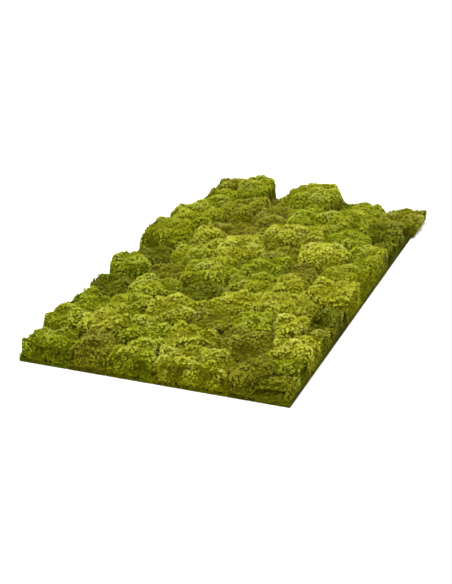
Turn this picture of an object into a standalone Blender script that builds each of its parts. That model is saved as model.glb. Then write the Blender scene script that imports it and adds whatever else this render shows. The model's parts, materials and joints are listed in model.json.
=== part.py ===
"""A mat of reindeer moss, cut straight at its edges: sixty domed cushions packed side by side.

The mat lies on its flat cut underside, with its front edge towards -Y. Each cushion grows in a cell of
its own. The cells fill the plan of the mat, and a narrow crevice divides each cushion from the next.
"""

import math
from collections import namedtuple

import bmesh
import bpy
from mathutils import Matrix, Vector

# The mat, in metres.
MAT_WIDTH = 0.300
MAT_LENGTH = 0.600
SIDE_BULGE = 0.008  # how far a cushion that has swelled stands out past the side of the mat
BULGE_HEIGHT = 0.012  # the height at which it stands out that far
CORNER_RADIUS = 0.008  # the front right corner is rubbed round
CORNER_FACETS = 3

# The cushions.
CREVICE = 0.0003  # left open between two cushions
CROWN_PAST_CUT = 0.026  # a cushion at a cut side was this much larger before the cut
CELL_REACH = 0.070  # no cell reaches further from its middle than this
# The dome narrows in steps: height as a part of the cushion's own, and width as a part of the cell.
DOME_STEPS = ((0.76, 1.00), (0.93, 0.90), (1.00, 0.60))

CM = 0.01
MM = 0.001

# A cushion's middle and reach in plan are in centimetres, and its height is in millimetres.
Cushion = namedtuple("Cushion", "x y reach height tone swells", defaults=[False])

ROWS = (
    (  # the front edge
        Cushion(-12.4, -28.0, 2.7, 28, "lime"),
        Cushion(-7.0, -27.2, 2.5, 29, "brown_olive"),
        Cushion(-2.3, -27.8, 2.5, 29, "yellow_green"),
        Cushion(4.2, -28.0, 4.0, 30, "light_olive"),
        Cushion(9.9, -27.0, 2.3, 27, "brown_olive"),
        Cushion(13.2, -28.6, 2.2, 23, "olive"),
        Cushion(14.0, -25.4, 1.5, 31, "fresh_green"),
    ),
    (
        Cushion(-13.0, -23.0, 2.9, 35, "yellow_green"),
        Cushion(-8.4, -22.4, 2.7, 34, "light_olive"),
        Cushion(-3.6, -22.2, 2.5, 30, "fresh_green"),
        Cushion(1.8, -22.8, 3.0, 31, "light_olive"),
        Cushion(7.6, -22.0, 3.0, 28, "brown_olive"),
        Cushion(12.8, -21.6, 2.6, 31, "straw"),
    ),
    (
        Cushion(-13.2, -17.2, 2.7, 29, "lime"),
        Cushion(-8.2, -16.8, 2.8, 31, "yellow_green"),
        Cushion(-3.0, -16.6, 2.8, 34, "light_olive"),
        Cushion(1.9, -17.4, 2.3, 29, "olive"),
        Cushion(6.5, -16.6, 2.6, 30, "fresh_green"),
        Cushion(11.0, -17.2, 1.9, 35, "straw"),
        Cushion(14.1, -16.8, 1.9, 27, "olive"),
    ),
    (
        Cushion(-12.8, -11.4, 2.8, 27, "deep_green"),
        Cushion(-7.8, -11.2, 2.6, 29, "yellow_green"),
        Cushion(-2.4, -10.8, 3.0, 28, "deep_green"),
        Cushion(3.1, -12.0, 2.5, 34, "straw"),
        Cushion(8.6, -11.8, 3.3, 35, "light_olive"),
        Cushion(13.8, -11.6, 2.3, 27, "deep_green"),
    ),
    (
        Cushion(-13.2, -6.2, 3.0, 37, "lime"),
        Cushion(-8.8, -5.6, 2.2, 24, "brown_olive"),
        Cushion(-3.2, -4.6, 3.3, 34, "yellow_green"),
        Cushion(2.4, -6.2, 2.4, 32, "yellow_green"),
        Cushion(7.3, -6.2, 2.5, 36, "light_olive"),
        Cushion(12.8, -6.0, 3.0, 36, "straw"),
    ),
    (
        Cushion(-12.8, -0.8, 2.6, 30, "deep_green"),
        Cushion(-7.6, 0.6, 2.7, 32, "yellow_green"),
        Cushion(2.2, -0.4, 2.9, 30, "lime"),
        Cushion(7.2, -0.8, 2.3, 26, "brown_olive"),
        Cushion(12.4, 0.2, 2.9, 34, "yellow_green"),
    ),
    (
        Cushion(-13.0, 5.0, 3.4, 46, "yellow_green", swells=True),
        Cushion(-7.6, 6.2, 2.8, 34, "light_olive"),
        Cushion(-2.4, 3.8, 3.0, 35, "light_olive"),
        Cushion(2.2, 5.8, 2.4, 26, "olive"),
        Cushion(8.2, 5.2, 3.0, 35, "straw"),
        Cushion(13.4, 6.0, 2.7, 35, "yellow_green"),
    ),
    (
        Cushion(-12.6, 12.8, 3.2, 40, "yellow_green", swells=True),
        Cushion(-5.8, 11.8, 3.1, 29, "brown_olive"),
        Cushion(3.0, 11.2, 3.1, 35, "light_olive"),
        Cushion(9.0, 11.8, 2.7, 33, "lime"),
        Cushion(13.8, 12.2, 2.3, 20, "deep_green"),
    ),
    (
        Cushion(-13.2, 21.4, 3.5, 34, "yellow_green"),
        Cushion(-7.8, 19.0, 3.0, 33, "olive"),
        Cushion(-3.0, 17.8, 2.6, 31, "brown_olive"),
        Cushion(2.0, 17.4, 2.7, 35, "fresh_green"),
        Cushion(7.4, 18.8, 3.0, 33, "yellow_green"),
        Cushion(13.0, 18.8, 2.9, 27, "deep_green"),
    ),
    (  # the back edge
        Cushion(-13.0, 29.0, 2.2, 35, "olive"),
        Cushion(-8.6, 26.8, 2.4, 44, "yellow_green"),
        Cushion(-5.0, 27.0, 1.7, 17, "brown_olive"),
        Cushion(0.0, 26.4, 3.6, 43, "yellow_green"),
        Cushion(7.0, 26.6, 3.2, 18, "yellow_green"),
        Cushion(13.1, 26.4, 3.0, 20, "olive", swells=True),
    ),
)

# The colour of each tone of moss, as sRGB bytes.
TONES = {
    "yellow_green": (134, 138, 32),
    "light_olive": (150, 150, 40),
    "straw": (160, 160, 46),
    "lime": (128, 142, 28),
    "fresh_green": (122, 140, 30),
    "deep_green": (98, 104, 24),
    "olive": (116, 114, 26),
    "brown_olive": (106, 100, 28),
}
MOSS_ROUGHNESS = 0.95
SHARP_ANGLE = 50.0  # edges sharper than this, in degrees, stay crisp


def clear_scene():
    for old in list(bpy.data.objects):
        bpy.data.objects.remove(old, do_unlink=True)


def new_collection(name):
    collection = bpy.data.collections.new(name)
    bpy.context.scene.collection.children.link(collection)
    return collection


def linear(byte):
    part = byte / 255
    return part / 12.92 if part <= 0.04045 else ((part + 0.055) / 1.055) ** 2.4


def moss_material(tone):
    material = bpy.data.materials.new(f"moss_{tone}")
    material.use_nodes = True
    shader = material.node_tree.nodes["Principled BSDF"]
    shader.inputs["Base Color"].default_value = (*map(linear, TONES[tone]), 1.0)
    shader.inputs["Roughness"].default_value = MOSS_ROUGHNESS
    shader.inputs["Metallic"].default_value = 0.0
    return material


def keep_inside(bm, point, outward):
    """Cuts the solid flat at a plane and closes the cut."""
    everything = bm.verts[:] + bm.edges[:] + bm.faces[:]
    bmesh.ops.bisect_plane(bm, geom=everything, plane_co=point, plane_no=outward, clear_outer=True)
    bmesh.ops.holes_fill(bm, edges=bm.edges[:])


def cut_cell(bm, cushion, cushions):
    """Cuts the block back to the cushion's own cell, half a crevice short of each neighbour."""
    middle = Vector((cushion.x, cushion.y, 0)) * CM
    for other in cushions:
        across = Vector((other.x, other.y, 0)) * CM - middle
        distance = across.length
        if other is cushion or distance > 2 * CELL_REACH:
            continue
        share = (distance**2 + (cushion.reach * CM) ** 2 - (other.reach * CM) ** 2) / (2 * distance)
        outward = across / distance
        keep_inside(bm, middle + outward * (share - CREVICE / 2), outward)
    for side in (-1, 1):
        keep_inside(bm, Vector((side * (MAT_WIDTH / 2 + CROWN_PAST_CUT), 0, 0)), Vector((side, 0, 0)))
        keep_inside(bm, Vector((0, side * (MAT_LENGTH / 2 + CROWN_PAST_CUT), 0)), Vector((0, side, 0)))


def cut_mat_sides(bm, swells):
    """Cuts the crown straight down where the mat was cut, and rounds the front right corner.

    A cushion that swells keeps a bulge past the side, undercut down to the ground.
    """
    half_width = MAT_WIDTH / 2 + (SIDE_BULGE if swells else 0)
    half_length = MAT_LENGTH / 2
    for side in (-1, 1):
        keep_inside(bm, Vector((side * half_width, 0, 0)), Vector((side, 0, 0)))
        keep_inside(bm, Vector((0, side * half_length, 0)), Vector((0, side, 0)))
        if swells:
            undercut = Vector((side * BULGE_HEIGHT, 0, -SIDE_BULGE)).normalized()
            keep_inside(bm, Vector((side * MAT_WIDTH / 2, 0, 0)), undercut)
    corner = Vector((half_width - CORNER_RADIUS, CORNER_RADIUS - half_length, 0))
    for step in range(1, CORNER_FACETS):
        angle = math.radians(90 * step / CORNER_FACETS)
        outward = Vector((math.cos(angle), -math.sin(angle), 0))
        keep_inside(bm, corner + outward * CORNER_RADIUS, outward)


def scale_face(bm, face, factor):
    centre = face.calc_center_median()
    bmesh.ops.scale(bm, vec=(factor, factor, 1), verts=face.verts, space=Matrix.Translation(-centre))


def raise_dome(bm, height):
    """Draws the top of the block up in narrowing steps."""
    bm.normal_update()
    top = max(bm.faces, key=lambda face: face.normal.z)
    for (low, wide), (high, narrow) in zip(DOME_STEPS, DOME_STEPS[1:]):
        top = bmesh.ops.extrude_discrete_faces(bm, faces=[top])["faces"][0]
        bmesh.ops.translate(bm, vec=(0, 0, (high - low) * height), verts=top.verts)
        scale_face(bm, top, narrow / wide)


def sharpen_block(bm):
    """Keeps the block's rim and corners sharp, so that the cushion rests flat and fills its cell."""
    crease = bm.edges.layers.float.new("crease_edge")
    for edge in bm.edges:
        if min(vert.co.z for vert in edge.verts) < CREVICE:
            edge[crease] = 1.0


def round_off(bm):
    """Rounds the shape with one level of subdivision."""
    cage = bpy.data.meshes.new("cage")
    bm.to_mesh(cage)
    holder = bpy.data.objects.new("cage", cage)
    bpy.context.scene.collection.objects.link(holder)
    rounding = holder.modifiers.new("rounding", "SUBSURF")
    rounding.levels = 1
    rounding.render_levels = 1
    evaluated = holder.evaluated_get(bpy.context.evaluated_depsgraph_get())
    bm.clear()
    bm.from_mesh(evaluated.to_mesh())
    bpy.data.objects.remove(holder)
    bpy.data.meshes.remove(cage)


def make_cushion(name, cushion, cushions, material, collection):
    height = cushion.height * MM
    shoulder = DOME_STEPS[0][0] * height
    middle = Vector((cushion.x, cushion.y, 0)) * CM
    bm = bmesh.new()
    place = Matrix.Translation(middle + Vector((0, 0, shoulder / 2)))
    block = Matrix.Diagonal((2 * CELL_REACH, 2 * CELL_REACH, shoulder, 1))
    bmesh.ops.create_cube(bm, size=1.0, matrix=place @ block)
    cut_cell(bm, cushion, cushions)
    raise_dome(bm, height)
    sharpen_block(bm)
    round_off(bm)
    cut_mat_sides(bm, cushion.swells)
    bmesh.ops.translate(bm, vec=-middle, verts=bm.verts)
    mesh = bpy.data.meshes.new(name)
    bm.to_mesh(mesh)
    bm.free()
    mesh.shade_smooth()
    mesh.set_sharp_from_angle(angle=math.radians(SHARP_ANGLE))
    mesh.materials.append(material)
    made = bpy.data.objects.new(name, mesh)
    made.location = middle
    collection.objects.link(made)


def main():
    clear_scene()
    mat = new_collection("moss_mat")
    materials = {tone: moss_material(tone) for tone in TONES}
    cushions = [cushion for row in ROWS for cushion in row]
    for number, cushion in enumerate(cushions, start=1):
        make_cushion(f"cushion_{number:02d}", cushion, cushions, materials[cushion.tone], mat)


main()
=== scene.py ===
"""The looks of the reindeer moss mat: sixty cushions of fine forked branch tips, packed side by side.

Each cushion is grown on a copy of its CAD solid. The copy is filled out towards its neighbours and swollen
into heads. Then the branch tips are sown all over it, except on its cut underside and deep between cushions.
"""

import json
import math

import bpy
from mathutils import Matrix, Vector

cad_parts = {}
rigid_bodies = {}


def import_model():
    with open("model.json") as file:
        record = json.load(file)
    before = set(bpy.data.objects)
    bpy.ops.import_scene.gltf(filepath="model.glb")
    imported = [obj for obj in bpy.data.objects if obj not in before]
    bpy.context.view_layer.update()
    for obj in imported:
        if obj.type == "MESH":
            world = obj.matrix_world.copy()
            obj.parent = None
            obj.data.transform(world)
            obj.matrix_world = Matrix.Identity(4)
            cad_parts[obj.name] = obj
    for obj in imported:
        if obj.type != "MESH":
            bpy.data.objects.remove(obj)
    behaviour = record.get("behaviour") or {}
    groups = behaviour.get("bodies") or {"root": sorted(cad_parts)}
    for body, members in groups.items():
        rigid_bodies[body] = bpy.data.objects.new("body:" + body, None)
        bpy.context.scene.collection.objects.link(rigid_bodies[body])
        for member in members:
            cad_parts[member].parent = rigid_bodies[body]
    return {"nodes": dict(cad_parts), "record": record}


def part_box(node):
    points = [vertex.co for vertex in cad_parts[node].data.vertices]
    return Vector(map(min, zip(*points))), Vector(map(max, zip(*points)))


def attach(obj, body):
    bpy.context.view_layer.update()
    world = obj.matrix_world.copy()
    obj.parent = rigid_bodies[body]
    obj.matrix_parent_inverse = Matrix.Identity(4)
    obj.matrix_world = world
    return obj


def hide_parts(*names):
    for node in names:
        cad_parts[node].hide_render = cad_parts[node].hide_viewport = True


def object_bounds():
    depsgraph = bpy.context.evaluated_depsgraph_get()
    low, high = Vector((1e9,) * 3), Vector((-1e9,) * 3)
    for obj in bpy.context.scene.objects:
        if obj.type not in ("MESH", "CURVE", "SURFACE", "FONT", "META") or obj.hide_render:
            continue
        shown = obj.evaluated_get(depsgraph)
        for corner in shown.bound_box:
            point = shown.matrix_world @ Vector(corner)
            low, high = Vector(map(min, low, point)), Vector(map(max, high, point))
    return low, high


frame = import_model()
cad_low, cad_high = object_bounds()

MM = 0.001

# ---------------------------------------------------------------- the camera, the floor and the light

CAMERA_PLACE = (0.4655, -1.3020, 0.5502)
CAMERA_TURN = (67.80, 0.0, 20.873)  # degrees
CAMERA_LENS = 74.6
SENSOR_WIDTH = 36.0
CAMERA_SIGHT = 50  # how far the camera sees, in metres

FLOOR_SIZE = 80.0
FLOOR_GREY = 0.86
FLOOR_ROUGHNESS = 0.9
FLOOR_SPECULAR = 0.1
SKY_STRENGTH = 1.0

# The soft lights: name, place, size, power in watts. Each points at the middle of the mat.
SOFT_LIGHTS = (
    ("window", (-1.3, -0.9, 2.0), 1.6, 52.0),
    ("ceiling", (0.1, 0.5, 2.4), 1.8, 68.0),
)

# ---------------------------------------------------------------- the branch tips

TIP_LENGTH = 3.4 * MM  # a branch tip, from its root in the cushion to its ends
TIP_SPREAD = 2.1 * MM  # how far its ends stand apart from its middle
TIP_ENDS = 5
TIP_KINDS = 4  # shapes of branch tip
TIP_SPACING = 1.96 * MM
TIP_GROWTH = (0.75, 1.25)  # the smallest and the largest tip, as parts of the usual size
TIP_LEAN = 0.5  # how far a tip leans at most, in radians
TIP_TURN = 6.28  # how far a tip is turned round its root at most, in radians
TIP_RISE = (0.0, 0.0, 0.3)  # the tips grow a little upwards as well as outwards
FORK_SPREAD = 0.28  # the forks between the ends, and the hollow, as parts of the tip's spread and length
FORK_DROP = 0.40
HOLLOW_DROP = 0.46
SHORTEST_END = 0.78  # the ends' reach and rise, as parts of the tip's spread and length, in even steps
LONGER_BY = 0.09
LOWEST_END = -0.14
HIGHER_BY = 0.06
FORK_GROWTH = 0.5  # how far up the growth the forks and the hollow are
HOLLOW_GROWTH = 0.45
SOWING_DENSITY = 420000.0  # tries a square metre, enough to fill the surface at that spacing
UNDERSIDE = -0.5  # a face whose normal points down by more than this is on the underside

# ---------------------------------------------------------------- the cushions' shape

MERGED = 0.01 * MM  # points of the solid nearer than this are one point
BODY_GRAIN = 3.4 * MM  # the size of the body's faces
PROUD = 6 * MM  # how far the ends may stand above the cushion's own height
LEAN_OVER = 2 * MM  # how far the ends may lean over the next cushion
ON_GROUND = 0.8 * MM  # what is lower than this stays on the ground

SWELL = 1.4 * MM  # how far the crowns of the heads rise over the cushion
HEAD_SIZE = 19 * MM
HEAD_DEPTH = 7.0 * MM
HEAD_STRETCH = (1.0, 1.0, 0.35)  # the heads are drawn out upwards
HEAD_START = (0.15, 0.55)  # the heads begin and are fully swollen here, as parts of the cushion's height
SIDEWAYS = (0.05, 0.6)  # how much of the swelling goes sideways, inside the mat and at a cut side
DRIFT_SIZE = 24 * MM  # the heads are pushed about by up to half of the drift, so that no two are alike
DRIFT = 16 * MM
DRIFT_DETAIL = 1.0
LUMP_REACH = 0.66  # a crease is deepest this far from a lump's crown, as a part of the lump's size
LUMP_CURVE = 2.0
KNOB_SIZE = 9 * MM
KNOB_DEPTH = 2.2 * MM

ROLL_SIZE = 48 * MM  # the broad hollows that run across several cushions
ROLL_DEPTH = 4.0 * MM
ROLL_NOISE = (0.35, 0.65)  # the noise on a broad rise and in a broad hollow
ROLL_SINK = (-0.4 * ROLL_DEPTH, 0.6 * ROLL_DEPTH)

BALL = 12 * MM  # the ball that is rolled over the mat to close the grooves between its cushions
BORDER_RISE = 0.58  # above this part of a cushion's height the ball counts in full
FILLED = (0.4, 0.95)  # how much of what the ball bridges is filled, from place to place
CLOSING_SIZE = 40 * MM
CLOSING_NOISE = (0.38, 0.62)
LONG_SIDE_OPEN = 0.5  # how much of the filling is left out at the long sides. At the short ones all of it is
HOLLOW_FILL = (0.0, 0.5, 1.0, 0.0)  # the filling, from the rim of a hollow to half-way in

WANDER_SIZE = 22 * MM  # the borders between cushions wander by up to half of the wander
WANDER = 18 * MM
ALOFT = (3 * MM, 12 * MM)  # they stay put below the first height, and wander in full above the second
PRESSED = 0.8 * MM  # the cushions swell sideways by this much, and close the cracks between them

CUT_SIDE = (0.1485, 0.2985)  # past these the moss is on a cut side of the mat
EDGE_BAND = 10 * MM  # the moss changes over to a cut side within this distance
FOOT_HEIGHT = 5 * MM  # the foot of a cut side stands straight up to this height
FOOT_REACH = 3.5 * MM  # moss this near to CUT_SIDE is drawn forward into the foot
FOOT_FACE = 1.4 * MM  # how far past CUT_SIDE the foot's face stands
BACK_SHARE = 0.6  # above the foot the moss draws back by this part of how far it sinks
LEAST_BACK = 1.2 * MM
MOST_BACK = 5 * MM  # on top of LEAST_BACK

FLAT = (1.0, 1.0, 0.0)  # a vector times this lies flat
NOISE_MIDDLE = (0.5, 0.5, 0.5)  # the colour that a noise varies about

# The deep hollows between the cushions: x, y and reach, in metres.
HOLLOWS = (
    (-0.074, -0.290, 0.012),
    (0.119, -0.285, 0.012),
    (0.029, -0.272, 0.014),
    (-0.047, -0.262, 0.013),
    (0.080, -0.232, 0.016),
    (0.103, -0.180, 0.013),
    (0.127, -0.133, 0.012),
    (-0.005, -0.128, 0.017),
    (-0.060, -0.107, 0.013),
    (0.075, -0.035, 0.012),
    (-0.140, 0.018, 0.014),
    (0.051, 0.051, 0.012),
    (-0.071, 0.097, 0.018),
    (0.146, 0.110, 0.014),
    (-0.047, 0.137, 0.015),
    (0.082, 0.173, 0.013),
)
HOLLOW_DEPTH = 7 * MM

# ---------------------------------------------------------------- the moss's colours

# The light that reaches the moss. Each range goes from one measure of its shape to another, and then gives
# the light at the first and at the second.
CREASE_DIM = 0.25  # the light that is lost from the crown of a head to its deepest crease
CREASE_LIGHT = (0.55, 1.0, 1.0, 0.55)
HOLLOW_LIGHT = (0.1, 0.8, 1.0, 0.0)
ROLL_LIGHT = (*ROLL_NOISE, 1.0, 0.75)
LEVEL_LIGHT = (0.0, 0.9, 0.15, 1.0)
KNOB_LIGHT = (0.0, 1.0, 1.0, 0.72)
OPEN_LEVEL = 0.45  # no tips grow below this part of the cushion's height, but for the cut sides
OPEN_EDGE = 0.5  # past this part of EDGE_BAND the moss counts as on a cut side

PATCH_SIZE = 26 * MM  # the patches of one tint
PATCH_DETAIL = 2.0
PATCH_TINTS = (0.32, 0.68, 0.2, 0.74)  # the noise from patch to patch, and the tints that it stands for
TINT_SPREAD = 0.16  # how much one tip differs from the next
ACROSS_SHIFT = 0.012  # a fork's tint differs this much from its ends'
GRAIN_SIZE = 6.25 * MM
GRAIN = 0.06  # how much the colour changes at random along the growth
UP_THE_GROWTH = (0.0, 1.0, 0.1, 0.94)  # how far up the colours the ends are, in the dark and in the light
MAP_MARGIN = 0.004  # the map keeps this far from its edges

# Where one colour gives way to the next, by tint and by height up the growth.
SHADE_TO_TIP = (0.0, 0.5)
TIP_TO_PALE = (0.55, 1.0)
ROOT_TO_SHADE = (0.0, 0.3)
SHADE_TO_YOUNG = (0.2, 0.7)
MOSS_ROUGHNESS = (1.0, 0.8)  # at the root and at the ends
MOSS_SPECULAR = 0.05

# Each tone: the colour at the root, in the shade of a gap, of most tips, and of the palest tips. The root
# and gap colours are painted shade: the depth of the mat, the body under the tips and the creases.
TONES = {
    "yellow_green": ((58, 62, 0), (130, 134, 8), (186, 191, 58), (208, 212, 124)),
    "light_olive": ((62, 62, 0), (140, 141, 12), (202, 204, 74), (220, 221, 138)),
    "straw": ((66, 65, 0), (150, 151, 14), (208, 210, 78), (226, 226, 144)),
    "lime": ((54, 59, 0), (120, 128, 6), (172, 182, 46), (199, 205, 108)),
    "fresh_green": ((54, 59, 0), (124, 131, 6), (184, 191, 54), (206, 210, 116)),
    "deep_green": ((44, 47, 0), (96, 100, 6), (136, 141, 38), (170, 175, 90)),
    "olive": ((53, 53, 0), (118, 119, 10), (170, 170, 56), (198, 198, 110)),
    "brown_olive": ((52, 50, 0), (116, 114, 12), (164, 162, 58), (192, 190, 106)),
}


def linear(byte):
    """One part of a colour as it looks on a screen, 0 to 255, as the linear value that a shader takes."""
    part = byte / 255
    return part / 12.92 if part <= 0.04045 else ((part + 0.055) / 1.055) ** 2.4


def deselect_all():
    bpy.ops.object.select_all(action="DESELECT")


def make_active(thing):
    deselect_all()
    thing.select_set(True)
    bpy.context.view_layer.objects.active = thing


def add_node(tree, kind, inputs=None, **settings):
    """Adds a node, gives it its settings, and sets its inputs or links them."""
    made = tree.nodes.new(kind)
    for name, value in settings.items():
        setattr(made, name, value)
    for key, value in (inputs or {}).items():
        if isinstance(value, bpy.types.NodeSocket):
            tree.links.new(value, made.inputs[key])
        else:
            made.inputs[key].default_value = value
    return made


def maths(tree, operation, a, b=0.0):
    return add_node(tree, "ShaderNodeMath", {0: a, 1: b}, operation=operation).outputs[0]


def product(tree, first, *others):
    for other in others:
        first = maths(tree, "MULTIPLY", first, other)
    return first


def total(tree, first, *others):
    for other in others:
        first = maths(tree, "ADD", first, other)
    return first


def vector_maths(tree, operation, a, b):
    return add_node(tree, "ShaderNodeVectorMath", {0: a, 1: b}, operation=operation).outputs[0]


def vector_total(tree, first, *others):
    for other in others:
        first = vector_maths(tree, "ADD", first, other)
    return first


def scaled(tree, vector, by):
    made = add_node(tree, "ShaderNodeVectorMath", {0: vector, "Scale": by}, operation="SCALE")
    return made.outputs[0]


def split(tree, vector):
    """The X, Y and Z of a vector."""
    return add_node(tree, "ShaderNodeSeparateXYZ", {0: vector}).outputs


def joined(tree, **parts):
    """A vector from its X, Y and Z. One that isn't given is 0."""
    return add_node(tree, "ShaderNodeCombineXYZ", parts).outputs[0]


def map_range(tree, value, low, high, to_low=0.0, to_high=1.0):
    names = {"Value": value, "From Min": low, "From Max": high, "To Min": to_low, "To Max": to_high}
    return add_node(tree, "ShaderNodeMapRange", names).outputs["Result"]


def noise(tree, place, size, detail=0.0):
    inputs = {"Vector": place, "Scale": 1 / size, "Detail": detail}
    return add_node(tree, "ShaderNodeTexNoise", inputs).outputs


def pushed_about(tree, place, size, by, detail=0.0):
    """A push of up to half this much along each axis, which changes smoothly from place to place."""
    push = vector_maths(tree, "SUBTRACT", noise(tree, place, size, detail)["Color"], NOISE_MIDDLE)
    return scaled(tree, push, by)


# ---------------------------------------------------------------- set the scene


def make_camera():
    turn = [math.radians(angle) for angle in CAMERA_TURN]
    bpy.ops.object.camera_add(location=CAMERA_PLACE, rotation=turn)
    camera = bpy.context.object
    camera.name = "camera"
    camera.data.lens = CAMERA_LENS
    camera.data.sensor_width = SENSOR_WIDTH
    camera.data.clip_end = CAMERA_SIGHT
    bpy.context.scene.camera = camera


def make_floor():
    bpy.ops.mesh.primitive_plane_add(size=FLOOR_SIZE, location=(0, 0, 0))
    floor = bpy.context.object
    floor.name = "floor"
    paint = bpy.data.materials.new("floor_paint")
    paint.use_nodes = True
    shader = paint.node_tree.nodes["Principled BSDF"]
    shader.inputs["Base Color"].default_value = (FLOOR_GREY, FLOOR_GREY, FLOOR_GREY, 1)
    shader.inputs["Roughness"].default_value = FLOOR_ROUGHNESS
    shader.inputs["Specular IOR Level"].default_value = FLOOR_SPECULAR
    floor.data.materials.append(paint)


def make_lights():
    for name, place, size, power in SOFT_LIGHTS:
        aim = (-Vector(place)).to_track_quat("-Z", "Y").to_euler()
        bpy.ops.object.light_add(type="AREA", location=place, rotation=aim)
        light = bpy.context.object
        light.name = name
        light.data.size = size
        light.data.energy = power
    sky = bpy.data.worlds.new("sky")
    sky.use_nodes = True
    background = sky.node_tree.nodes["Background"]
    background.inputs["Color"].default_value = (1, 1, 1, 1)
    background.inputs["Strength"].default_value = SKY_STRENGTH
    bpy.context.scene.world = sky
    bpy.context.scene.view_settings.view_transform = "Standard"


# ---------------------------------------------------------------- branch tips


def choose(mesh, chosen):
    """Selects these points, in edit mode."""
    bpy.ops.mesh.select_all(action="DESELECT")
    bpy.ops.object.mode_set(mode="OBJECT")
    for index in chosen:
        mesh.vertices[index].select = True
    bpy.ops.object.mode_set(mode="EDIT")


def narrow_and_lift(mesh, chosen, narrow, lift):
    choose(mesh, chosen)
    bpy.ops.transform.resize(value=(narrow, narrow, 1), center_override=(0, 0, 0))
    bpy.ops.transform.translate(value=(0, 0, lift))


def mark_growth(mesh, along, across):
    """Notes how far up the growth each point is, and which points take a slightly different tint."""
    for name, values in (("along", along), ("across", across)):
        marks = mesh.attributes.new(name, "FLOAT", "POINT")
        marks.data.foreach_set("value", values)


def make_branch_tip(number):
    """A whorl of five pointed ends round a hollow middle, on a narrow root."""
    deselect_all()
    bpy.ops.mesh.primitive_cone_add(
        vertices=2 * TIP_ENDS,
        radius1=TIP_SPREAD,
        radius2=0,
        depth=TIP_LENGTH,
        end_fill_type="TRIFAN",
        location=(0, 0, TIP_LENGTH / 2),
        rotation=(math.pi, 0, 0),
    )
    tip = bpy.context.object
    tip.name = f"branch_tip_{number}"
    bpy.ops.object.transform_apply(location=True, rotation=True, scale=True)
    mesh = tip.data
    points = mesh.vertices
    rim = [p.index for p in points if math.hypot(p.co.x, p.co.y) > TIP_SPREAD / 2]
    rim.sort(key=lambda i: math.atan2(points[i].co.y, points[i].co.x))
    ends, forks = rim[0::2], rim[1::2]
    root = min(range(len(points)), key=lambda i: points[i].co.z)
    hollow = next(p.index for p in points if p.index != root and p.index not in rim)

    bpy.ops.object.mode_set(mode="EDIT")
    bpy.ops.mesh.select_mode(type="VERT")
    narrow_and_lift(mesh, forks, FORK_SPREAD, -FORK_DROP * TIP_LENGTH)
    narrow_and_lift(mesh, [hollow], 1.0, -HOLLOW_DROP * TIP_LENGTH)
    for place, end in enumerate(ends):
        reach = SHORTEST_END + LONGER_BY * ((place * 3 + number * 2) % TIP_ENDS)
        lift = LOWEST_END + HIGHER_BY * ((place * 2 + number) % TIP_ENDS)
        narrow_and_lift(mesh, [end], reach, lift * TIP_LENGTH)
    bpy.ops.object.mode_set(mode="OBJECT")

    # The colour darkens down the growth towards the root: painted shade inside each tip and in the gaps
    # between tips.
    growth = {root: 0.0, hollow: HOLLOW_GROWTH}
    growth.update(dict.fromkeys(forks, FORK_GROWTH))
    growth.update(dict.fromkeys(ends, 1.0))
    numbers = range(len(points))
    mark_growth(mesh, [growth[i] for i in numbers], [float(i in forks) for i in numbers])
    return tip


def make_branch_tips():
    """The branch tips, in a collection of their own."""
    kept = bpy.data.collections.new("branch_tips")
    bpy.context.scene.collection.children.link(kept)
    for number in range(TIP_KINDS):
        tip = make_branch_tip(number)
        for holder in list(tip.users_collection):
            holder.objects.unlink(tip)
        kept.objects.link(tip)
    return kept


def whole_mat():
    """All the cushions' solids in one mesh, to measure from."""
    deselect_all()
    for node in frame["nodes"].values():
        copy = bpy.data.objects.new("whole_mat", node.data.copy())
        bpy.context.scene.collection.objects.link(copy)
        copy.select_set(True)
    bpy.context.view_layer.objects.active = copy
    bpy.ops.object.join()
    return bpy.context.object


# ---------------------------------------------------------------- growth, as one node group


def noted(tree, name, data_type="FLOAT"):
    kind = "GeometryNodeInputNamedAttribute"
    return add_node(tree, kind, {"Name": name}, data_type=data_type).outputs[0]


def note(tree, geometry, name, value, domain="POINT", data_type="FLOAT"):
    inputs = {"Geometry": geometry, "Name": name, "Value": value}
    kind = "GeometryNodeStoreNamedAttribute"
    return add_node(tree, kind, inputs, data_type=data_type, domain=domain).outputs[0]


def random_number(tree, low, high, seed):
    inputs = {2: low, 3: high, "Seed": seed}
    return add_node(tree, "FunctionNodeRandomValue", inputs, data_type="FLOAT").outputs[1]


def lumps(tree, place, size):
    """0 on the crown of each round lump, rising to 1 in the creases between them."""
    scale = maths(tree, "DIVIDE", 1.0, size)
    cells = add_node(tree, "ShaderNodeTexVoronoi", {"Vector": place, "Scale": scale}, feature="F1")
    away = maths(tree, "DIVIDE", cells.outputs["Distance"], LUMP_REACH)
    return maths(tree, "MINIMUM", maths(tree, "POWER", away, LUMP_CURVE), 1.0)


def hollowed(tree, place):
    """1 in the middle of each hollow of the mat, falling to 0 at its rim."""
    flat = vector_maths(tree, "MULTIPLY", place, FLAT)
    deepest = 0.0
    for x, y, reach in HOLLOWS:
        away = add_node(tree, "ShaderNodeVectorMath", {0: flat, 1: (x, y, 0.0)}, operation="DISTANCE")
        one = map_range(tree, away.outputs["Value"], 0.0, reach, 1.0, 0.0)
        deepest = maths(tree, "MAXIMUM", deepest, one)
    return deepest


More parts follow.
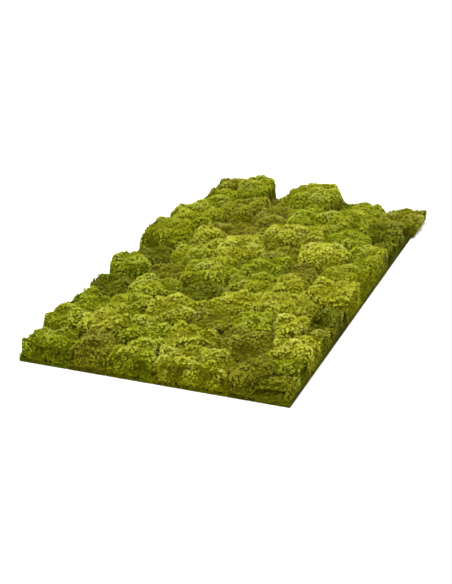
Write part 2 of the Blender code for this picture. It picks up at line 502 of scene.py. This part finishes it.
def groove_filling(tree, height, spot, rise, warped, cut_sides, hollow, mat):
    """How far the groove to the next cushion is filled up here.

    A broad ball rolled over the whole mat touches the crowns, and sinks a little between them.
    """
    ball_middle = maths(tree, "ADD", height, BALL)
    over = joined(tree, X=spot["X"], Y=spot["Y"], Z=ball_middle)
    inputs = {"Geometry": mat, "Source Position": over}
    near = add_node(tree, "GeometryNodeProximity", inputs, target_element="FACES")
    rolled = maths(tree, "SUBTRACT", ball_middle, near.outputs["Distance"])
    bridged = product(tree, rolled, map_range(tree, rise, 0.0, BORDER_RISE))

    share = map_range(tree, noise(tree, warped, CLOSING_SIZE)[0], *CLOSING_NOISE, *FILLED)
    left_open = maths(tree, "MAXIMUM", cut_sides[1], product(tree, cut_sides[0], LONG_SIDE_OPEN))
    share = product(tree, share, maths(tree, "SUBTRACT", 1.0, left_open))
    share = product(tree, share, map_range(tree, hollow, *HOLLOW_FILL))
    return product(tree, maths(tree, "SUBTRACT", bridged, spot["Z"]), share)


def head_swelling(tree, normal, rise, edge, inner, sink):
    """The move that swells the crowns and sinks the creases: mostly upright inside the mat."""
    high = map_range(tree, rise, *HEAD_START)
    outward = product(tree, maths(tree, "SUBTRACT", SWELL, sink), high)
    upright = product(tree, inner, high)
    sideways = map_range(tree, edge, 0.0, 1.0, *SIDEWAYS)
    parts = split(tree, normal)
    direction = joined(
        tree,
        X=product(tree, parts["X"], sideways),
        Y=product(tree, parts["Y"], sideways),
        Z=maths(tree, "MAXIMUM", parts["Z"], upright),
    )
    return scaled(tree, direction, outward)


def border_wander(tree, place, normal, spot, inner):
    """The sideways move that bends the borders between cushions. Neighbours at one height move together."""
    aloft = map_range(tree, spot["Z"], *ALOFT)
    flat = vector_maths(tree, "MULTIPLY", place, FLAT)
    wander = pushed_about(tree, flat, WANDER_SIZE, product(tree, inner, aloft, WANDER))
    wander = vector_maths(tree, "ADD", wander, scaled(tree, normal, PRESSED))
    return vector_maths(tree, "MULTIPLY", wander, FLAT)


def cut_side_move(tree, spot, far, sink):
    """The move at a cut side: the moss keeps a straight foot, and draws back above it."""
    above = map_range(tree, spot["Z"], FOOT_HEIGHT, 2 * FOOT_HEIGHT)
    back = maths(tree, "MAXIMUM", product(tree, sink, BACK_SHARE), 0.0)
    back = maths(tree, "MINIMUM", back, MOST_BACK)
    back = product(tree, above, total(tree, back, LEAST_BACK))
    foot = maths(tree, "LESS_THAN", spot["Z"], FOOT_HEIGHT)
    moves = {}
    for axis, out, cut in zip("XY", far, CUT_SIDE):
        in_foot = product(tree, foot, maths(tree, "GREATER_THAN", out, cut - FOOT_REACH))
        short = maths(tree, "MAXIMUM", maths(tree, "SUBTRACT", cut + FOOT_FACE, out), 0.0)
        forward = product(tree, in_foot, short)
        behind = product(tree, maths(tree, "GREATER_THAN", out, cut), back)
        moved = maths(tree, "SUBTRACT", forward, behind)
        moves[axis] = product(tree, moved, maths(tree, "SIGN", spot[axis]))
    return joined(tree, **moves)


def light_reaching(tree, crease, hollow, rolling, level):
    """How much light reaches the moss here, from 0 to 1."""
    return product(
        tree,
        maths(tree, "SUBTRACT", 1.0, product(tree, crease, CREASE_DIM)),
        map_range(tree, crease, *CREASE_LIGHT),
        map_range(tree, hollow, *HOLLOW_LIGHT),
        map_range(tree, rolling, *ROLL_LIGHT),
        map_range(tree, level, *LEVEL_LIGHT),
    )


def swollen_body(tree, given, place, normal, mat):
    """The solid, filled out towards its neighbours and swollen into heads that run on over them."""
    spot = split(tree, place)
    rise = maths(tree, "DIVIDE", spot["Z"], given["Height"])
    far = [maths(tree, "ABSOLUTE", spot[axis]) for axis in "XY"]
    cut_sides = [map_range(tree, out, cut - EDGE_BAND, cut) for out, cut in zip(far, CUT_SIDE)]
    edge = maths(tree, "MAXIMUM", *cut_sides)
    inner = maths(tree, "SUBTRACT", 1.0, edge)

    drift = pushed_about(tree, place, DRIFT_SIZE, DRIFT, DRIFT_DETAIL)
    warped = vector_maths(tree, "ADD", place, drift)
    crease = lumps(tree, vector_maths(tree, "MULTIPLY", warped, HEAD_STRETCH), given["Head Size"])
    rolling = noise(tree, place, ROLL_SIZE)[0]
    hollow = hollowed(tree, place)
    sink = total(
        tree,
        product(tree, crease, given["Head Depth"]),
        map_range(tree, rolling, *ROLL_NOISE, *ROLL_SINK),
        product(tree, hollow, HOLLOW_DEPTH),
    )
    filling = groove_filling(tree, given["Height"], spot, rise, warped, cut_sides, hollow, mat)
    level = maths(tree, "DIVIDE", total(tree, spot["Z"], filling), given["Height"])

    offset = vector_total(
        tree,
        head_swelling(tree, normal, rise, edge, inner, sink),
        border_wander(tree, place, normal, spot, inner),
        joined(tree, Z=filling),
        cut_side_move(tree, spot, far, sink),
    )
    parts = split(tree, offset)
    off_ground = maths(tree, "GREATER_THAN", spot["Z"], ON_GROUND)
    offset = joined(tree, X=parts["X"], Y=parts["Y"], Z=product(tree, parts["Z"], off_ground))

    body = note(tree, given["Geometry"], "light", light_reaching(tree, crease, hollow, rolling, level))
    at_cut_side = maths(tree, "GREATER_THAN", edge, OPEN_EDGE)
    high_enough = maths(tree, "GREATER_THAN", level, OPEN_LEVEL)
    body = note(tree, body, "open", maths(tree, "MAXIMUM", at_cut_side, high_enough))
    return add_node(tree, "GeometryNodeSetPosition", {"Geometry": body, "Offset": offset}).outputs[0]


def sown(tree, body, normal, spacing, seed):
    """Points all over the body, except on its underside and deep between two cushions."""
    not_under = maths(tree, "GREATER_THAN", split(tree, normal)["Z"], UNDERSIDE)
    inputs = {
        "Mesh": body,
        "Distance Min": spacing,
        "Density Max": SOWING_DENSITY,
        "Seed": seed,
        "Density Factor": product(tree, not_under, noted(tree, "open")),
    }
    kind = "GeometryNodeDistributePointsOnFaces"
    return add_node(tree, kind, inputs, distribute_method="POISSON").outputs


def planted(tree, points, direction, tips, seed, growth):
    """Branch tips, one on each point, turned at random."""
    facing = add_node(tree, "FunctionNodeAlignRotationToVector", {"Vector": direction}, axis="Z")
    inputs = {"Min": (-TIP_LEAN, -TIP_LEAN, 0.0), "Max": (TIP_LEAN, TIP_LEAN, TIP_TURN), "Seed": seed}
    turn = add_node(tree, "FunctionNodeRandomValue", inputs, data_type="FLOAT_VECTOR")
    inputs = {"Rotation": facing.outputs[0], "Rotate By": turn.outputs[0]}
    turned = add_node(tree, "FunctionNodeRotateRotation", inputs, rotation_space="LOCAL")
    inputs = {4: 0, 5: TIP_KINDS - 1, "Seed": seed}
    chosen = add_node(tree, "FunctionNodeRandomValue", inputs, data_type="INT").outputs[2]
    inputs = {"Collection": tips, "Separate Children": True, "Reset Children": True}
    shapes = add_node(tree, "GeometryNodeCollectionInfo", inputs).outputs[0]
    inputs = {
        "Points": points,
        "Instance": shapes,
        "Pick Instance": True,
        "Instance Index": chosen,
        "Rotation": turned.outputs[0],
        "Scale": growth,
    }
    return add_node(tree, "GeometryNodeInstanceOnPoints", inputs).outputs[0]


def grown_tips(tree, given, body, place, normal, patch, tips):
    """Branch tips all over the body, gathered into knobs, each with a tint of its own."""
    seed = given["Seed"]
    points = sown(tree, body, normal, given["Spacing"], seed)
    knobs = lumps(tree, place, KNOB_SIZE)
    sunk = scaled(tree, points["Normal"], product(tree, knobs, -KNOB_DEPTH))
    dimmer = product(tree, noted(tree, "light"), map_range(tree, knobs, *KNOB_LIGHT))
    upward = vector_maths(tree, "ADD", points["Normal"], TIP_RISE)
    rooted = note(tree, points["Points"], "light", dimmer)
    rooted = note(tree, rooted, "upward", upward, data_type="FLOAT_VECTOR")
    rooted = add_node(tree, "GeometryNodeSetPosition", {"Geometry": rooted, "Offset": sunk}).outputs[0]
    growth = random_number(tree, *TIP_GROWTH, seed)
    placed = planted(tree, rooted, noted(tree, "upward", "FLOAT_VECTOR"), tips, seed, growth)
    tint = total(tree, patch, random_number(tree, -TINT_SPREAD, TINT_SPREAD, seed))
    placed = note(tree, placed, "tint", tint, domain="INSTANCE")
    return add_node(tree, "GeometryNodeRealizeInstances", {0: placed}).outputs[0]


def mapped(tree, geometry, place):
    """Lays out the map that the colours follow: tint across it, and up it from the root to the ends. Where
    less light reaches, the ends sit lower up the map, which paints shade into their colour.
    """
    across = total(tree, noted(tree, "tint"), product(tree, noted(tree, "across"), ACROSS_SHIFT))
    lit = map_range(tree, noted(tree, "light"), *UP_THE_GROWTH)
    grain = product(tree, noise(tree, place, GRAIN_SIZE)[0], GRAIN)
    up = total(tree, product(tree, noted(tree, "along"), lit), grain)
    kept = {}
    for axis, value in (("X", across), ("Y", up)):
        kept[axis] = maths(tree, "MINIMUM", maths(tree, "MAXIMUM", value, MAP_MARGIN), 1 - MAP_MARGIN)
    spot = joined(tree, **kept)
    return note(tree, geometry, "OFBake", spot, domain="CORNER", data_type="FLOAT2")


def growth_group(tips, mat):
    """Swells a cushion into heads and sows branch tips all over it."""
    tree = bpy.data.node_groups.new("moss_growth", "GeometryNodeTree")
    face = tree.interface
    face.new_socket("Geometry", in_out="INPUT", socket_type="NodeSocketGeometry")
    face.new_socket("Geometry", in_out="OUTPUT", socket_type="NodeSocketGeometry")
    for name in ("Lowest Corner", "Highest Corner"):
        face.new_socket(name, in_out="INPUT", socket_type="NodeSocketVector")
    face.new_socket("Seed", in_out="INPUT", socket_type="NodeSocketInt")
    for name in ("Height", "Head Size", "Head Depth", "Spacing"):
        face.new_socket(name, in_out="INPUT", socket_type="NodeSocketFloat")
    given = tree.nodes.new("NodeGroupInput").outputs
    handed = tree.nodes.new("NodeGroupOutput")
    place = add_node(tree, "GeometryNodeInputPosition").outputs[0]
    normal = add_node(tree, "GeometryNodeInputNormal").outputs[0]
    patch = map_range(tree, noise(tree, place, PATCH_SIZE, PATCH_DETAIL)[0], *PATCH_TINTS)

    solids = add_node(tree, "GeometryNodeObjectInfo", {"Object": mat}).outputs["Geometry"]
    body = swollen_body(tree, given, place, normal, solids)
    grown = grown_tips(tree, given, body, place, normal, patch, tips)
    # The body carries no growth, so it takes the dark root colour: painted shade under the tips.
    body = note(tree, body, "tint", patch)
    whole = add_node(tree, "GeometryNodeJoinGeometry")
    for part in (grown, body):
        tree.links.new(part, whole.inputs[0])
    inside = vector_maths(tree, "MAXIMUM", place, given["Lowest Corner"])
    inside = vector_maths(tree, "MINIMUM", inside, given["Highest Corner"])
    inputs = {"Geometry": whole.outputs[0], "Position": inside}
    trimmed = add_node(tree, "GeometryNodeSetPosition", inputs).outputs[0]
    done = mapped(tree, trimmed, place)
    done = add_node(tree, "GeometryNodeSetShadeSmooth", {"Geometry": done, "Shade Smooth": False})
    tree.links.new(done.outputs[0], handed.inputs[0])
    return tree


# ---------------------------------------------------------------- the moss's materials


def mix_colours(tree, share, a, b):
    """One colour where the share is 0, turning into the other where it is 1."""
    return add_node(tree, "ShaderNodeMix", {0: share, 6: a, 7: b}, data_type="RGBA").outputs[2]


def colour_group():
    """The colour of moss: dark at the root, paler to the ends, and different from tip to tip. The darkening
    down the growth and in dim places is painted shade.
    """
    tree = bpy.data.node_groups.new("moss_colour", "ShaderNodeTree")
    for name in ("Root", "Shade", "Tip", "Pale"):
        tree.interface.new_socket(name, in_out="INPUT", socket_type="NodeSocketColor")
    tree.interface.new_socket("Colour", in_out="OUTPUT", socket_type="NodeSocketColor")
    tree.interface.new_socket("Roughness", in_out="OUTPUT", socket_type="NodeSocketFloat")
    given = tree.nodes.new("NodeGroupInput").outputs
    handed = tree.nodes.new("NodeGroupOutput")
    spot = split(tree, add_node(tree, "ShaderNodeUVMap", uv_map="OFBake").outputs[0])
    tint, up = spot["X"], spot["Y"]

    young = mix_colours(tree, map_range(tree, tint, *SHADE_TO_TIP), given["Shade"], given["Tip"])
    young = mix_colours(tree, map_range(tree, tint, *TIP_TO_PALE), young, given["Pale"])
    low = mix_colours(tree, map_range(tree, up, *ROOT_TO_SHADE), given["Root"], given["Shade"])
    colour = mix_colours(tree, map_range(tree, up, *SHADE_TO_YOUNG), low, young)
    tree.links.new(colour, handed.inputs["Colour"])
    tree.links.new(map_range(tree, up, 0.0, 1.0, *MOSS_ROUGHNESS), handed.inputs["Roughness"])
    return tree


def moss_material(tone, colours):
    material = bpy.data.materials.new(f"{tone}_reindeer_moss")
    material.use_nodes = True
    tree = material.node_tree
    shader = tree.nodes["Principled BSDF"]
    group = tree.nodes.new("ShaderNodeGroup")
    group.node_tree = colours
    for name, colour in zip(("Root", "Shade", "Tip", "Pale"), TONES[tone]):
        group.inputs[name].default_value = (*map(linear, colour), 1)
    tree.links.new(group.outputs["Colour"], shader.inputs["Base Color"])
    tree.links.new(group.outputs["Roughness"], shader.inputs["Roughness"])
    shader.inputs["Specular IOR Level"].default_value = MOSS_SPECULAR
    return material


# ---------------------------------------------------------------- the cushions


def grow_cushion(number, node, growth, material):
    """Grows one cushion on a copy of its solid, and puts it in the solid's place."""
    low, high = (Vector(corner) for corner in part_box(node.name))
    piece = bpy.data.objects.new(f"moss_{node.name}", node.data.copy())
    bpy.context.scene.collection.objects.link(piece)
    make_active(piece)
    bpy.ops.object.mode_set(mode="EDIT")
    bpy.ops.mesh.select_all(action="SELECT")
    bpy.ops.mesh.remove_doubles(threshold=MERGED)
    bpy.ops.object.mode_set(mode="OBJECT")
    piece.data.materials.clear()

    grain = piece.modifiers.new("grain", "REMESH")
    grain.mode = "VOXEL"
    grain.voxel_size = BODY_GRAIN
    bpy.ops.object.modifier_apply(modifier=grain.name)

    grown = piece.modifiers.new("growth", "NODES")
    grown.node_group = growth
    for axis, cut in enumerate(CUT_SIDE):
        if abs(low[axis]) < cut:
            low[axis] -= LEAN_OVER
        if abs(high[axis]) < cut:
            high[axis] += LEAN_OVER
    values = {
        "Lowest Corner": low,
        "Highest Corner": (high.x, high.y, min(high.z + PROUD, cad_high.z)),
        "Height": high.z,
        "Seed": number,
        "Head Size": HEAD_SIZE,
        "Head Depth": HEAD_DEPTH,
        "Spacing": TIP_SPACING,
    }
    for item in growth.interface.items_tree:
        if item.in_out == "INPUT" and item.name in values:
            grown[item.identifier] = values[item.name]
    bpy.ops.object.modifier_apply(modifier=grown.name)
    piece.data.materials.clear()
    piece.data.materials.append(material)
    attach(piece, "root")
    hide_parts(node.name)


def main():
    make_camera()
    make_floor()
    make_lights()
    tips = make_branch_tips()
    mat = whole_mat()
    growth = growth_group(tips, mat)
    colours = colour_group()
    materials = {f"moss_{tone}": moss_material(tone, colours) for tone in TONES}
    slots = {part["node"]: part["material_slot"] for part in frame["record"]["subparts"]}
    for number, name in enumerate(sorted(frame["nodes"]), start=1):
        grow_cushion(number, frame["nodes"][name], growth, materials[slots[name]])
    for tip in list(tips.objects):
        bpy.data.objects.remove(tip)
    bpy.data.collections.remove(tips)
    bpy.data.objects.remove(mat)


main()
